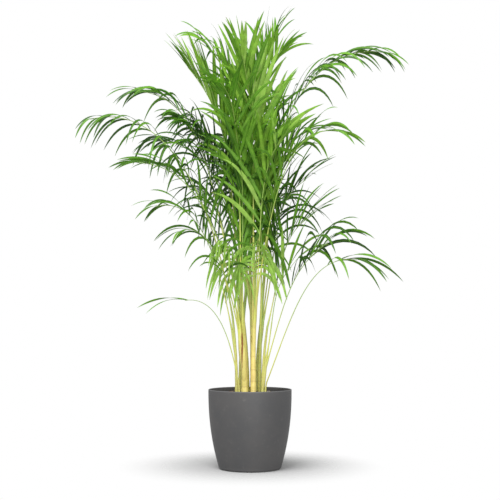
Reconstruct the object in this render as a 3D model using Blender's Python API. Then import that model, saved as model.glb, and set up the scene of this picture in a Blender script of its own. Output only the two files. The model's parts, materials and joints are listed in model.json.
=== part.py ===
"""Potted areca palm: a plastic pot, its soil, the canes and the fronds that part from them.

Metres, +Z up. The origin is the centre of the pot's flat foot, and -Y is the front.
A frond is one closed solid: a four-sided stalk whose leaflets grow out of its side faces.
"""

from collections import namedtuple
from math import cos, pi, radians, sin

import bmesh
import bpy
import numpy as np
from mathutils.bvhtree import BVHTree

GAP = 0.0003  # between pieces that touch

# Pot: a rounded bowl with a thin wall.
POT_HEIGHT = 0.235
RIM_RADIUS = 0.125
NARROWING = 0.033  # how much smaller the radius is at the foot
BELLY = 2.2  # how late the side turns in on its way down
WALL = 0.003
FLOOR = 0.004
FOOT_ROUNDING = 0.008
POT_SIDES = 36
WALL_STEPS = 5

# Soil: level under the canes, falling towards the wall.
SOIL_CROWN = 0.226
CROWN_RADIUS = 0.068
SOIL_EDGE = 0.213

# Canes: straight up out of the soil, then a slow lean outwards.
Cane = namedtuple("Cane", "name x y top_x top_y top radius")
CANES = [
    Cane("cane_01", -0.016, -0.018, -0.026, -0.024, 0.50, 0.0100),
    Cane("cane_02", 0.010, -0.024, 0.012, -0.032, 0.56, 0.0080),
    Cane("cane_03", -0.040, -0.010, -0.052, -0.014, 0.45, 0.0050),
    Cane("cane_04", 0.038, -0.012, 0.052, -0.016, 0.42, 0.0050),
    Cane("cane_05", 0.029, 0.012, 0.038, 0.018, 0.54, 0.0060),
    Cane("cane_06", 0.008, 0.010, 0.000, 0.014, 0.60, 0.0075),
    Cane("cane_07", -0.008, 0.018, -0.036, 0.032, 0.55, 0.0070),
    Cane("cane_08", -0.030, 0.038, -0.012, 0.062, 0.52, 0.0060),
    Cane("cane_09", 0.020, 0.040, 0.036, 0.064, 0.46, 0.0055),
    Cane("shoot_left", -0.032, -0.034, -0.034, -0.035, 0.255, 0.0030),
    Cane("shoot_right", 0.046, -0.034, 0.049, -0.036, 0.255, 0.0030),
]
CANE_TAPER = 0.6  # top radius over bottom radius
CANE_STEPS = 6

# Fronds: a stalk starts `below` the top of its cane and ends `reach` away from it at height `tip`.
# It leaves `lean` degrees and ends `droop` degrees from the vertical. Heading 0 is +X, 90 is +Y.
# The first `bare` of its length has no leaflets, and `leaf` is the length of the longest leaflet.
# The first leaflets stand `spread` degrees off the stalk, and `hang` is how strongly leaflets bend down.
Frond = namedtuple("Frond", "name cane below heading reach tip lean droop bare leaf spread hang")
FRONDS = [
    Frond("frond_left_01", "cane_03", 0.00, 188, 0.43, 1.04, 9, 106, 0.34, 0.20, 46, 2.2),
    Frond("frond_left_02", "cane_07", 0.05, 165, 0.35, 1.17, 6, 84, 0.32, 0.24, 38, 1.3),
    Frond("frond_left_03", "cane_01", 0.08, 200, 0.33, 0.90, 8, 92, 0.34, 0.21, 38, 0.9),
    Frond("frond_left_04", "cane_03", 0.04, 168, 0.25, 0.79, 6, 104, 0.40, 0.18, 42, 1.1),
    Frond("frond_left_05", "cane_01", 0.14, 222, 0.25, 0.69, 9, 118, 0.45, 0.17, 44, 1.3),
    Frond("frond_left_06", "shoot_left", 0.00, 185, 0.16, 0.50, 10, 100, 0.95, 0.17, 34, 0.9),
    Frond("frond_left_07", "cane_08", 0.12, 186, 0.19, 1.055, 3, 54, 0.32, 0.26, 44, 1.2),
    Frond("frond_right_01", "cane_06", 0.14, 8, 0.43, 1.28, 1, 98, 0.40, 0.21, 36, 1.3),
    Frond("frond_right_02", "cane_02", 0.05, 335, 0.27, 0.99, 10, 104, 0.45, 0.22, 40, 1.3),
    Frond("frond_right_03", "cane_05", 0.10, 28, 0.16, 0.88, 12, 60, 0.36, 0.24, 30, 0.6),
    Frond("frond_right_04", "cane_04", 0.12, 342, 0.20, 0.67, 14, 58, 0.56, 0.27, 40, 1.3),
    Frond("frond_right_05", "shoot_right", 0.00, 338, 0.28, 0.615, 22, 100, 0.80, 0.20, 34, 1.6),
    Frond("frond_right_06", "cane_04", 0.00, 10, 0.14, 0.76, 14, 60, 0.36, 0.22, 30, 0.5),
    Frond("frond_right_07", "cane_05", 0.00, 350, 0.11, 0.97, 8, 46, 0.36, 0.24, 28, 0.4),
    Frond("frond_right_08", "cane_04", 0.10, 335, 0.09, 0.60, 8, 45, 0.84, 0.23, 36, 0.6),
    Frond("frond_top_01", "cane_06", 0.00, 20, 0.090, 1.325, 1, 28, 0.42, 0.24, 46, 0.6),
    Frond("frond_top_02", "cane_06", 0.06, 160, 0.15, 1.30, 2, 44, 0.42, 0.25, 44, 0.9),
    Frond("frond_top_03", "cane_07", 0.00, 172, 0.16, 1.23, 4, 40, 0.42, 0.27, 24, 0.4),
    Frond("frond_top_04", "cane_02", 0.00, 250, 0.10, 1.22, 3, 36, 0.40, 0.28, 22, 0.4),
    Frond("frond_top_05", "cane_06", 0.10, 315, 0.13, 1.25, 3, 50, 0.42, 0.22, 40, 0.6),
    Frond("frond_front_01", "cane_01", 0.11, 222, 0.10, 0.675, 8, 98, 0.52, 0.16, 60, 6.0),
    Frond("frond_front_02", "cane_02", 0.14, 284, 0.06, 0.675, 12, 104, 0.52, 0.17, 60, 6.0),
    Frond("frond_front_03", "cane_01", 0.00, 252, 0.19, 1.12, 5, 84, 0.42, 0.22, 36, 1.0),
    Frond("frond_front_04", "cane_02", 0.09, 305, 0.16, 0.98, 8, 62, 0.40, 0.23, 30, 0.6),
    Frond("frond_front_05", "cane_01", 0.17, 262, 0.09, 0.94, 3, 38, 0.36, 0.27, 22, 0.3),
    Frond("frond_front_06", "cane_05", 0.16, 268, 0.08, 0.98, 3, 34, 0.36, 0.25, 20, 0.4),
    Frond("frond_back_01", "cane_08", 0.05, 98, 0.34, 0.96, 10, 102, 0.42, 0.22, 40, 1.3),
    Frond("frond_back_02", "cane_08", 0.00, 160, 0.29, 1.02, 6, 80, 0.34, 0.24, 42, 1.3),
    Frond("frond_back_03", "cane_09", 0.04, 72, 0.31, 0.86, 12, 102, 0.42, 0.22, 42, 1.4),
    Frond("frond_back_04", "cane_09", 0.00, 48, 0.23, 1.06, 8, 70, 0.45, 0.22, 33, 0.8),
    Frond("frond_back_05", "cane_07", 0.10, 120, 0.31, 0.86, 12, 102, 0.42, 0.22, 39, 1.2),
    Frond("frond_back_06", "cane_08", 0.10, 82, 0.20, 0.70, 14, 120, 0.42, 0.19, 50, 2.0),
    Frond("frond_back_07", "cane_05", 0.01, 78, 0.18, 1.18, 5, 50, 0.45, 0.23, 32, 0.6),
]
START_HANDLE = 0.50  # of the distance from base to tip: how long the stalk keeps its first direction
END_HANDLE = 0.32
STALK_GIRTH = 0.004  # base radius of a stalk one metre long
STALK_END = 0.0010
STALK_SECTION = 0.8  # half a side of the square section, as a share of the stalk's radius
CURVE_POINTS = 201
NUDGE = 0.004  # how far each way a stalk is read to find its direction
BARE_STEPS = 5

# Leaflets: in pairs, raised in a V from the stalk, their outer part hanging.
LEAFLET_SPACING = 0.048
LEAFLET_BASE = 0.008
LEAFLET_WIDTH = 0.019
LEAFLET_THICKNESS = 0.0014
LEAFLET_WIDEST = 0.42  # share of the length at which a leaflet is widest
SPREAD_LEFT = 0.55  # share of the first pair's spread that the last pair keeps
LEAFLET_RAISE = (40, -8)  # degrees above the stalk's own plane, and more for each unit of hang
LEAFLET_BEND = (0.2, 0.75)  # downward pull on the inner and the outer part for each unit of hang
FIRST_LEAFLET = 0.30  # where the first and last leaflets stand on the half wave of leaflet lengths
LAST_LEAFLET = 0.86
OWN_STALK_STRETCH = 0.3  # share of a leaflet's inner part that may lie near its own stalk
ABOVE_POT = 0.02  # the least height of a leaflet over the lip
WAYS_TO_GROW = [  # (length factor, change of spread, change of raise): the first with room is taken
    (size, spread, lift)
    for size in (1.0, 0.8, 0.6)
    for spread in (0, -9, 9)
    for lift in (0, 14, -14, 28, -28)
]

UP = np.array([0.0, 0.0, 1.0])


def unit(vector):
    return vector / np.linalg.norm(vector)


def material(name, color, roughness):
    """A plain Principled material."""
    made = bpy.data.materials.new(name)
    made.use_nodes = True
    shader = made.node_tree.nodes["Principled BSDF"]
    shader.inputs["Base Color"].default_value = (*color, 1.0)
    shader.inputs["Roughness"].default_value = roughness
    shader.inputs["Metallic"].default_value = 0.0
    return made


def add_object(name, data, finish):
    data.materials.append(finish)
    made = bpy.data.objects.new(name, data)
    bpy.context.scene.collection.objects.link(made)
    return made


def turned(name, profile, finish):
    """A solid turned around Z from a profile that starts and ends on the axis."""
    mesh = bpy.data.meshes.new(name)
    points = [(radius, 0.0, height) for radius, height in profile]
    mesh.from_pydata(points, [(i, i + 1) for i in range(len(points) - 1)], [])
    made = add_object(name, mesh, finish)
    screw = made.modifiers.new("turn", "SCREW")
    screw.steps = screw.render_steps = POT_SIDES
    screw.use_merge_vertices = True
    screw.merge_threshold = 0.0001
    return made


# Pot and soil


def pot_radius(height):
    """Outer radius of the pot's side: full at the rim, turning in more and more towards the foot."""
    return RIM_RADIUS - NARROWING * (1 - height / POT_HEIGHT) ** BELLY


def inner_side(low, high):
    """Points up the inside of the wall, from one height to another."""
    return [(pot_radius(z) - WALL, z) for z in np.linspace(low, high, WALL_STEPS)]


def make_pot():
    lip = WALL / 2
    shoulder = POT_HEIGHT - lip
    lip_arc = [
        (pot_radius(shoulder) - lip - lip * cos(turn), shoulder + lip * sin(turn))
        for turn in (pi / 4, pi / 2, 3 * pi / 4)
    ]
    outside = [(pot_radius(z), z) for z in np.linspace(shoulder, FOOT_ROUNDING, WALL_STEPS + 2)]
    foot_centre = pot_radius(FOOT_ROUNDING) - FOOT_ROUNDING
    foot_arc = [
        (foot_centre + FOOT_ROUNDING * cos(turn), FOOT_ROUNDING - FOOT_ROUNDING * sin(turn))
        for turn in (pi / 6, pi / 3, pi / 2)
    ]
    inside = [(foot_centre, FLOOR)] + inner_side(FLOOR + FOOT_ROUNDING, SOIL_EDGE)
    inside += [(pot_radius(shoulder) - WALL, shoulder)]
    profile = [(0.0, FLOOR)] + inside + lip_arc + outside + foot_arc + [(0.0, 0.0)]
    turned("pot", profile, material("anthracite_plastic", (0.117, 0.114, 0.117), 0.55))


def make_soil():
    side = inner_side(FLOOR + FOOT_ROUNDING, SOIL_EDGE)[::-1]
    foot = (pot_radius(FOOT_ROUNDING) - FOOT_ROUNDING, FLOOR)
    top = [(0.0, SOIL_CROWN), (CROWN_RADIUS, SOIL_CROWN)]
    body = [(radius - GAP, max(z, FLOOR + GAP)) for radius, z in side + [foot]]
    profile = top + body + [(0.0, FLOOR + GAP)]
    turned("soil", profile, material("potting_soil", (0.045, 0.028, 0.018), 0.95))


# Canes


def cane_axis(cane, height):
    """The cane's centre at a height: it starts upright and its lean grows towards the top."""
    rise = (height - SOIL_CROWN) / (cane.top - SOIL_CROWN)
    lean = rise ** 2
    x = cane.x + (cane.top_x - cane.x) * lean
    y = cane.y + (cane.top_y - cane.y) * lean
    return np.array([x, y, height])


def cane_radius(cane, height):
    rise = (height - SOIL_CROWN) / (cane.top - SOIL_CROWN)
    return cane.radius * (1 + (CANE_TAPER - 1) * rise)


def cane_direction(cane, height):
    step = 0.01
    return unit(cane_axis(cane, height) - cane_axis(cane, max(height - step, SOIL_CROWN)))


def make_cane(cane, finish):
    """A round tapered cane, cut square at the soil."""
    curve = bpy.data.curves.new(cane.name, "CURVE")
    curve.dimensions = "3D"
    curve.bevel_depth = 1.0
    curve.bevel_resolution = 2
    curve.use_fill_caps = True
    heights = np.linspace(SOIL_CROWN + GAP, cane.top, CANE_STEPS)
    spline = curve.splines.new("POLY")
    spline.points.add(CANE_STEPS - 1)
    for point, height in zip(spline.points, heights):
        point.co = (*cane_axis(cane, height), 1.0)
        point.radius = cane_radius(cane, height)
    add_object(cane.name, curve, finish)


# Stalks


class Stalk:
    """A frond's bare stalk and rachis: a Bezier curve read by the distance along it."""

    def __init__(self, frond, cane):
        self.frond = frond
        turn = radians(frond.heading)
        ahead = np.array([cos(turn), sin(turn), 0.0])
        self.side = np.array([-sin(turn), cos(turn), 0.0])
        height = cane.top - frond.below
        centre = cane_axis(cane, height)
        end = centre + ahead * frond.reach
        end[2] = frond.tip
        span = np.linalg.norm(end - centre)
        self.girth = max(STALK_GIRTH * span, 2 * STALK_END)
        if frond.below == 0:
            start = centre + UP * GAP
            direction = UP
        else:
            start = centre + ahead * (cane_radius(cane, height) + self.girth + 2 * GAP)
            direction = cane_direction(cane, height)
        leave = unit(direction * cos(radians(frond.lean)) + ahead * sin(radians(frond.lean)))
        arrive = ahead * sin(radians(frond.droop)) + UP * cos(radians(frond.droop))
        if frond.below == 0:
            start = start + UP * self.girth * sin(radians(frond.lean))
        span = np.linalg.norm(end - start)
        handles = [start, start + leave * span * START_HANDLE, end - arrive * span * END_HANDLE, end]
        u = np.linspace(0, 1, CURVE_POINTS)[:, None]
        weights = [(1 - u) ** 3, 3 * u * (1 - u) ** 2, 3 * u ** 2 * (1 - u), u ** 3]
        self.points = sum(weight * handle for weight, handle in zip(weights, handles))
        steps = np.linalg.norm(np.diff(self.points, axis=0), axis=1)
        self.distances = np.concatenate([[0.0], np.cumsum(steps)])
        self.length = self.distances[-1]
        self.bare = frond.bare * self.length
        self.pairs = max(1, round((self.length - self.bare) / LEAFLET_SPACING))

    def centre(self, distance):
        return np.array([np.interp(distance, self.distances, self.points[:, k]) for k in range(3)])

    def frame(self, distance):
        """Centre, direction, side and upper side of the stalk at a distance from its base."""
        before = self.centre(max(distance - NUDGE, 0.0))
        after = self.centre(min(distance + NUDGE, self.length))
        along = unit(after - before)
        upper = unit(np.cross(along, self.side))
        return self.centre(distance), along, np.cross(upper, along), upper

    def radius(self, distance):
        share = distance / self.length
        return self.girth + (STALK_END - self.girth) * share

    def section(self, distance):
        """Four corners: left below, left above, right above, right below."""
        centre, _, side, upper = self.frame(distance)
        half = self.radius(distance) * STALK_SECTION
        return [centre + half * (a * side + b * upper) for a, b in ((1, -1), (1, 1), (-1, 1), (-1, -1))]

    def stations(self):
        """Distances of the sections. Each pair of leaflets has its own short stretch of stalk."""
        spacing = (self.length - self.bare) / self.pairs
        bare = list(np.linspace(0, self.bare, BARE_STEPS + 1))[:-1]
        middles = [self.bare + spacing * (pair + 0.5) for pair in range(self.pairs)]
        return bare, [(m - LEAFLET_BASE / 2, m + LEAFLET_BASE / 2) for m in middles]


# Leaflets


def leaflet_points(stalk, corners, pair, hand, way):
    """Four corners at a leaflet's widest place, and its tip. Hand is 1 on the left and -1 on the right."""
    size, more_spread, more_raise = way
    share = (pair + 0.5) / stalk.pairs
    base = sum(corners) / 4
    middle = stalk.stations()[1][pair]
    _, along, side, upper = stalk.frame(sum(middle) / 2)
    frond = stalk.frond
    length = frond.leaf * size * sin(pi * (FIRST_LEAFLET + (LAST_LEAFLET - FIRST_LEAFLET) * share))
    spread = radians(frond.spread * (1 + (SPREAD_LEFT - 1) * share) + more_spread)
    lift = radians(LEAFLET_RAISE[0] + LEAFLET_RAISE[1] * frond.hang + more_raise)
    outward = hand * side * cos(lift) + upper * sin(lift)
    direction = along * cos(spread) + outward * sin(spread)
    inner_bend, outer_bend = (frond.hang * pull for pull in LEAFLET_BEND)
    first_part = unit(direction - UP * inner_bend)
    last_part = unit(direction - UP * outer_bend)
    through = unit(first_part + last_part)
    width = unit(along - through * along.dot(through)) * LEAFLET_WIDTH / 2
    thickness = np.cross(through, unit(width)) * -hand * LEAFLET_THICKNESS / 2
    widest = base + first_part * length * LEAFLET_WIDEST
    tip = widest + last_part * length * (1 - LEAFLET_WIDEST)
    signs = ((-1, -1), (1, -1), (1, 1), (-1, 1))
    return [widest + width * a + thickness * b for a, b in signs] + [tip]


LEAFLET_SIDES = [(0, 1, 5, 4), (1, 2, 6, 5), (2, 3, 7, 6), (3, 0, 4, 7)]
LEAFLET_END = [(4, 5, 8), (5, 6, 8), (6, 7, 8), (7, 4, 8)]


def leaflet_tree(points, room):
    """A tree for finding what a leaflet touches, or comes nearer to than the room it needs."""
    return BVHTree.FromPolygons(points, LEAFLET_SIDES + LEAFLET_END, epsilon=room)


def free_part(points):
    """A tree of a leaflet without the first stretch, which stands on the stalk."""
    pairs = zip(points[:4], points[4:8])
    start = [corner + (wide - corner) * OWN_STALK_STRETCH for corner, wide in pairs]
    return leaflet_tree(start + points[4:], GAP)


class FrondMesh:
    """The vertices and faces of one frond while it grows."""

    def __init__(self, stalk):
        self.stalk = stalk
        self.vertices = []
        self.faces = []
        bare, pairs = stalk.stations()
        distances = bare + [distance for pair in pairs for distance in pair]
        for distance in distances:
            self.vertices += stalk.section(distance)
        self.rings = len(distances)
        self.first_pair = len(bare)
        for ring in range(self.rings - 1):
            self.faces += [self.stalk_face(ring, corner) for corner in range(4)]
        last = 4 * (self.rings - 1)
        self.vertices.append(stalk.centre(stalk.length))
        end = len(self.vertices) - 1
        self.faces += [(last + corner, last + (corner + 1) % 4, end) for corner in range(4)]
        self.faces.append((3, 2, 1, 0))
        self.body = BVHTree.FromPolygons(self.vertices, self.faces, epsilon=GAP)
        self.leaflets = []

    def stalk_face(self, ring, corner):
        low, high = 4 * ring, 4 * ring + 4
        following = (corner + 1) % 4
        return (low + corner, low + following, high + following, high + corner)

    def grow_leaflet(self, pair, hand, obstacles):
        """Swaps a side face of the stalk for a leaflet, in the first way that touches nothing."""
        ring = self.first_pair + 2 * pair
        corner = 0 if hand == 1 else 2
        face = self.stalk_face(ring, corner)
        lower, upper = (face[0], face[1]) if hand == 1 else (face[1], face[0])
        far_upper, far_lower = (face[2], face[3]) if hand == 1 else (face[3], face[2])
        base = [lower, far_lower, far_upper, upper]
        corners = [self.vertices[index] for index in base]
        for way in WAYS_TO_GROW:
            grown = leaflet_points(self.stalk, corners, pair, hand, way)
            if min(point[2] for point in grown) < POT_HEIGHT + ABOVE_POT:
                continue
            points = corners + grown
            if any(leaflet_tree(points, GAP).overlap(tree) for tree in obstacles):
                continue
            if free_part(points).overlap(self.body):
                continue
            if any(leaflet_tree(points, 0.0).overlap(tree) for tree in self.leaflets):
                continue
            first = len(self.vertices)
            index = base + list(range(first, first + 5))
            self.faces.remove(face)
            self.vertices += grown
            self.faces += [tuple(index[k] for k in side) for side in LEAFLET_SIDES + LEAFLET_END]
            self.leaflets.append(leaflet_tree(points, GAP))
            return True
        return False


def make_fronds():
    """Every stalk comes first, then the leaflets, pair by pair, each where it finds room."""
    canes = {cane.name: cane for cane in CANES}
    growing = [FrondMesh(Stalk(frond, canes[frond.cane])) for frond in FRONDS]
    stalks = [frond.body for frond in growing]
    standing = [tree_of(bpy.data.objects[name]) for name in canes]
    skipped = 0
    for frond in growing:
        others = [tree for other, tree in zip(growing, stalks) if other is not frond]
        others += standing
        others += [tree for other in growing if other is not frond for tree in other.leaflets]
        for pair in range(frond.stalk.pairs):
            for hand in (1, -1):
                skipped += not frond.grow_leaflet(pair, hand, others)
    for frond in growing:
        name = frond.stalk.frond.name
        mesh = bpy.data.meshes.new(name)
        mesh.from_pydata(frond.vertices, [], frond.faces)
        face_outwards(mesh)
        height = frond.stalk.frond.tip
        shade = min(max((height - 0.6) / 0.6, 0.0), 1.0)
        color = (0.12 - 0.05 * shade, 0.33 - 0.07 * shade, 0.04)
        add_object(name, mesh, material(name + "_leaf", color, 0.45))
    print("leaflets without room:", skipped)


def tree_of(made):
    """The tree of an object as its modifiers and bevels leave it."""
    graph = bpy.context.evaluated_depsgraph_get()
    shape = bmesh.new()
    shape.from_mesh(made.evaluated_get(graph).to_mesh())
    tree = BVHTree.FromBMesh(shape, epsilon=GAP)
    shape.free()
    return tree


def face_outwards(mesh):
    shape = bmesh.new()
    shape.from_mesh(mesh)
    bmesh.ops.recalc_face_normals(shape, faces=shape.faces)
    shape.to_mesh(mesh)
    shape.free()


def main():
    for leftover in list(bpy.data.objects):
        bpy.data.objects.remove(leftover)
    make_pot()
    make_soil()
    cane_finish = material("cane_skin", (0.70, 0.62, 0.22), 0.4)
    for cane in CANES:
        make_cane(cane, cane_finish)
    make_fronds()


main()
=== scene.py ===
# %% [markdown]
# # A potted areca palm
# This lesson dresses a plain measured model of a potted palm. The measured model fixes where the pot,
# the soil, the canes and the leaf stalks are. Everything that is seen is made here: the thin folded
# leaflets, the ringed canes, the crumbly soil and the moulded pot. Every shape is a surface worked out
# with numpy as whole arrays, so one formula shapes hundreds of leaflets at a time.

# %% Load the measured model
import json
from collections import namedtuple
from math import atan, pi, radians, tau

import bpy
import numpy as np
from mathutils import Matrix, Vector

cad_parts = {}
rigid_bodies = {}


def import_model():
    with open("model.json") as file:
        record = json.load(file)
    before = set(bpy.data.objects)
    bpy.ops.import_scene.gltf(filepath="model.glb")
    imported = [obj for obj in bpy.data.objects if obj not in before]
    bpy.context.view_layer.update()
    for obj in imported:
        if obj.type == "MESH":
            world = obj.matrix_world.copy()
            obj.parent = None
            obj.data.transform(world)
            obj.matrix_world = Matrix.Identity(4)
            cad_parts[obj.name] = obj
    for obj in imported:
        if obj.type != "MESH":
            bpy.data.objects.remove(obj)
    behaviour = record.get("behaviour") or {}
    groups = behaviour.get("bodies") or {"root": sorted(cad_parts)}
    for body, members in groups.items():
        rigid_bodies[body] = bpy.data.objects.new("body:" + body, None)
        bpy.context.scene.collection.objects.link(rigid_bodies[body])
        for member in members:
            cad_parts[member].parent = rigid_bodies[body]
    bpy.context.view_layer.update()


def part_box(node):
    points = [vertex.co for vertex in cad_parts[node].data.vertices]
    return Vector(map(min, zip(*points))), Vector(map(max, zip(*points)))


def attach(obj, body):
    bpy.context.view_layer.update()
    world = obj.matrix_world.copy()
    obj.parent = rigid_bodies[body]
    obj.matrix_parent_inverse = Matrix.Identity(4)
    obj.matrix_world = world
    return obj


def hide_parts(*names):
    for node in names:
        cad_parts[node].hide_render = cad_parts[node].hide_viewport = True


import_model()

BODY = "root"
UP = np.array([0.0, 0.0, 1.0])

# %% [markdown]
# ## The camera
# A long lens far from a tall plant keeps its crown from looking stretched. The camera stands three metres
# off, a little above the pot's lip, and looks up slightly, as a person kneeling would.

# %% Set up the camera
CAMERA_DISTANCE = 3.09
CAMERA_HEIGHT = 0.434
CAMERA_TILT = 4.07  # degrees above the horizon
FIELD_OF_VIEW = 27.5

camera_data = bpy.data.cameras.new("camera")
camera_data.lens_unit = "FOV"
camera_data.angle = radians(FIELD_OF_VIEW)
camera = bpy.data.objects.new("camera", camera_data)
camera.location = (0.0, -CAMERA_DISTANCE, CAMERA_HEIGHT)
camera.rotation_euler = (radians(90 + CAMERA_TILT), 0.0, 0.0)
bpy.context.scene.collection.objects.link(camera)
bpy.context.scene.camera = camera
print("camera height:", CAMERA_HEIGHT)

# %% [markdown]
# ## From arrays to meshes
# A grid of points becomes a mesh when its neighbours are joined by four-sided faces. A tube is a grid
# whose last column meets its first, closed at both ends by a fan of triangles. Many tubes of the same
# size can share one mesh: their faces are the same pattern, counted on from a new first point.

# %% Join a grid of points into faces


def tube_faces(rows, columns):
    """Faces of one closed tube: quads between neighbouring rings, then a fan at each end around a
    middle point. The two middle points are numbered after the rings."""
    row = np.arange(rows - 1)[:, None]
    column = np.arange(columns)[None, :]
    beside = (column + 1) % columns
    corners = (
        row * columns + column,
        row * columns + beside,
        (row + 1) * columns + beside,
        (row + 1) * columns + column,
    )
    quads = np.stack(np.broadcast_arrays(*corners), axis=-1).reshape(-1, 4)
    around = np.arange(columns)
    following = (around + 1) % columns
    first_middle = np.full(columns, rows * columns)
    last_ring = (rows - 1) * columns
    start = np.stack([first_middle, following, around], axis=-1)
    end = np.stack([first_middle + 1, last_ring + around, last_ring + following], axis=-1)
    return quads, np.concatenate([start, end])


def tubes(points):
    """Vertices and faces of many closed tubes, from an array of tube by ring by corner by 3."""
    count, rows, columns = points.shape[:3]
    rings = points.reshape(count, rows * columns, 3)
    middles = points[:, [0, -1]].mean(axis=2)
    vertices = np.concatenate([rings, middles], axis=1)
    quads, fans = tube_faces(rows, columns)
    shift = np.arange(count)[:, None, None] * vertices.shape[1]
    return vertices.reshape(-1, 3), (quads + shift).reshape(-1, 4), (fans + shift).reshape(-1, 3)


def on_tubes(values, columns):
    """Spreads one value for each tube and ring over all the tube's points, middles included."""
    count, rows = values.shape
    rings = np.repeat(values[:, :, None], columns, axis=2).reshape(count, rows * columns)
    return np.concatenate([rings, values[:, [0, -1]]], axis=1).ravel()


print("a tube of 3 rings of 4 has", sum(len(part) for part in tube_faces(3, 4)), "faces")

# %% Put the arrays into a named piece
SHARP_ANGLE = radians(35)


def add_piece(name, vertices, quads, triangles, slot, replaced, marks=None, uv=None):
    """Makes a mesh piece that rides on the model. Marks are named values, one for each vertex."""
    mesh = bpy.data.meshes.new(name)
    mesh.from_pydata(vertices.tolist(), [], quads.tolist() + triangles.tolist())
    mesh.shade_smooth()
    mesh.set_sharp_from_angle(angle=SHARP_ANGLE)
    for mark, values in (marks or {}).items():
        attribute = mesh.attributes.new(mark, "FLOAT", "POINT")
        attribute.data.foreach_set("value", np.asarray(values, np.float32))
    if uv is not None:
        corners = np.empty(len(mesh.loops), np.int32)
        mesh.loops.foreach_get("vertex_index", corners)
        layer = mesh.uv_layers.new(name="UVMap")
        layer.data.foreach_set("uv", uv[corners].astype(np.float32).ravel())
    piece = bpy.data.objects.new(name, mesh)
    bpy.context.scene.collection.objects.link(piece)
    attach(piece, BODY)
    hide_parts(*replaced)
    return piece


print("pieces ride on the body:", BODY)

# %% [markdown]
# ## Small tools for materials
# A node tree is easier to read as code when each node is one line and each wire is an argument. The
# shared effects below are node groups, built once: mottle shifts a colour in soft clouds, and fine
# grain gives the height for a bump.

# %% Build node trees in code


class Tree:
    """A node tree being wired. A socket passed as an input value is linked, and a number is set."""

    def __init__(self, tree):
        self.tree = tree

    def add(self, kind, settings=None, **inputs):
        node = self.tree.nodes.new("ShaderNode" + kind)
        for name, value in (settings or {}).items():
            setattr(node, name, value)
        for name, value in inputs.items():
            self.feed(node.inputs[name.replace("_", " ")], value)
        return node

    def feed(self, socket, value):
        if isinstance(value, bpy.types.NodeSocket):
            self.tree.links.new(value, socket)
        else:
            socket.default_value = value

    def math(self, operation, first, second=0.0, clamp=False):
        node = self.add("Math", {"operation": operation, "use_clamp": clamp})
        self.feed(node.inputs[0], first)
        self.feed(node.inputs[1], second)
        return node.outputs[0]

    def times(self, first, second, clamp=False):
        return self.math("MULTIPLY", first, second, clamp)

    def span(self, value, low, high, bottom=0.0, top=1.0):
        """Value between low and high, stretched to run from bottom to top and held there outside."""
        node = self.add("MapRange", {"interpolation_type": "SMOOTHSTEP"})
        for name, number in (("From Min", low), ("From Max", high), ("To Min", bottom), ("To Max", top)):
            node.inputs[name].default_value = number
        self.feed(node.inputs["Value"], value)
        return node.outputs[0]

    def blend(self, share, first, second):
        """Mixes two colours. The Mix node takes them at sockets 6 and 7 and gives the result at 2."""
        node = self.add("Mix", {"data_type": "RGBA"})
        self.feed(node.inputs[0], share)
        self.feed(node.inputs[6], first)
        self.feed(node.inputs[7], second)
        return node.outputs[2]

    def mark(self, name):
        return self.add("Attribute", {"attribute_name": name}).outputs["Fac"]

    def place(self):
        return self.add("TexCoord").outputs["Object"]

    def stretched(self, vector, scale):
        node = self.add("Mapping")
        self.feed(node.inputs["Vector"], vector)
        node.inputs["Scale"].default_value = scale
        return node.outputs[0]

    def moved(self, vector, centre):
        """Coordinates counted from another centre."""
        node = self.add("VectorMath", {"operation": "SUBTRACT"})
        self.feed(node.inputs[0], vector)
        node.inputs[1].default_value = centre
        return node.outputs["Vector"]

    def noise(self, vector, scale, detail=3.0, roughness=0.5):
        node = self.add("TexNoise", Vector=vector, Scale=scale, Detail=detail, Roughness=roughness)
        return node.outputs["Fac"]

    def bump(self, height, distance, strength):
        node = self.add("Bump", Height=height, Distance=distance, Strength=strength)
        return node.outputs["Normal"]


def rgb(red, green, blue):
    """A screen colour from 0 to 255 as the linear colour that a shader takes, by the sRGB curve."""
    screen = np.array([red, green, blue]) / 255.0
    linear = np.where(screen <= 0.04045, screen / 12.92, ((screen + 0.055) / 1.055) ** 2.4)
    return (*linear.tolist(), 1.0)


def group(name, inputs, outputs):
    """An empty node group with these sockets. Inputs and outputs are pairs of name and kind."""
    made = bpy.data.node_groups.new(name, "ShaderNodeTree")
    for direction, sockets in (("INPUT", inputs), ("OUTPUT", outputs)):
        for socket, kind in sockets:
            made.interface.new_socket(socket, in_out=direction, socket_type="NodeSocket" + kind)
    tree = Tree(made)
    return made, tree, made.nodes.new("NodeGroupInput").outputs, made.nodes.new("NodeGroupOutput").inputs


def finish_material(name):
    """A new material with its tree, its Principled shader and its output."""
    made = bpy.data.materials.new(name)
    made.use_nodes = True
    nodes = made.node_tree.nodes
    return made, Tree(made.node_tree), nodes["Principled BSDF"], nodes["Material Output"]


print("mid grey on screen is", round(rgb(128, 128, 128)[0], 3), "to a shader")

# %% Shared effect: mottle
mottle, tree, given, result = group(
    "mottle", [("Place", "Vector"), ("Color", "Color"), ("Other", "Color"), ("Scale", "Float")],
    [("Color", "Color")],
)
cloud = tree.span(tree.noise(given["Place"], given["Scale"], 4.0, 0.6), 0.35, 0.65)
tree.feed(result["Color"], tree.blend(cloud, given["Color"], given["Other"]))
print("group:", mottle.name)

# %% Shared effect: fine grain
grain, tree, given, result = group(
    "grain", [("Place", "Vector"), ("Scale", "Float"), ("Roughness", "Float"), ("Range", "Float")],
    [("Height", "Float"), ("Roughness", "Float")],
)
fine = tree.noise(given["Place"], given["Scale"], 2.0, 0.7)
around_zero = tree.math("SUBTRACT", fine, 0.5)
tree.feed(result["Height"], fine)
change = tree.times(around_zero, given["Range"])
tree.feed(result["Roughness"], tree.math("ADD", given["Roughness"], change))
print("group:", grain.name)


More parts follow.
